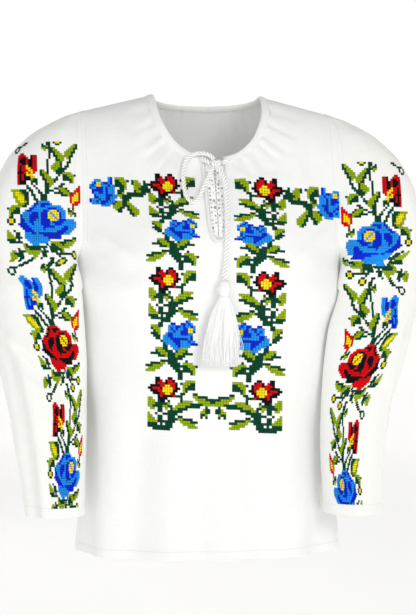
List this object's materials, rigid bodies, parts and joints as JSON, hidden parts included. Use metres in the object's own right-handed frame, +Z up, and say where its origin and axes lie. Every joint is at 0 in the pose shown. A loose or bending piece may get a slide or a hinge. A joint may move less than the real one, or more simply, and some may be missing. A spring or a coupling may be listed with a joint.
{
  "type": "peasant blouse",
  "caption": "Loose linen peasant blouse in its worn, hollow form, with long set-in sleeves and a lace-edged front slit closed by a tasselled tie cord.",
  "frame": {"origin": "between the shoulders on the centre line, level with the shoulder seams at the neck, where the wearer holds the blouse up", "axes": "+Z up towards the neck; the front faces -Y; +X is the wearer's left, seen on the right from in front"},
  "size_m": [0.6409, 0.274, 0.6597],
  "materials": {
    "linen": "plain-weave white linen, matt",
    "lace": "white cotton needle lace, matt",
    "cord": "twisted white cotton cord with a slight sheen"
  },
  "bodies": {
    "root": {"front_panel": "linen", "back_panel": "linen", "sleeve_left": "linen", "sleeve_right": "linen", "neck_casing": "linen", "lace_left": "lace", "lace_right": "lace", "slit_trim": "cord", "cord_lead_left": "cord", "cord_lead_right": "cord", "tie_knot": "cord", "cord_loop": "cord", "cord_tail": "cord", "tassel_head": "cord", "tassel_skirt": "cord"}
  },
  "joints": []
}
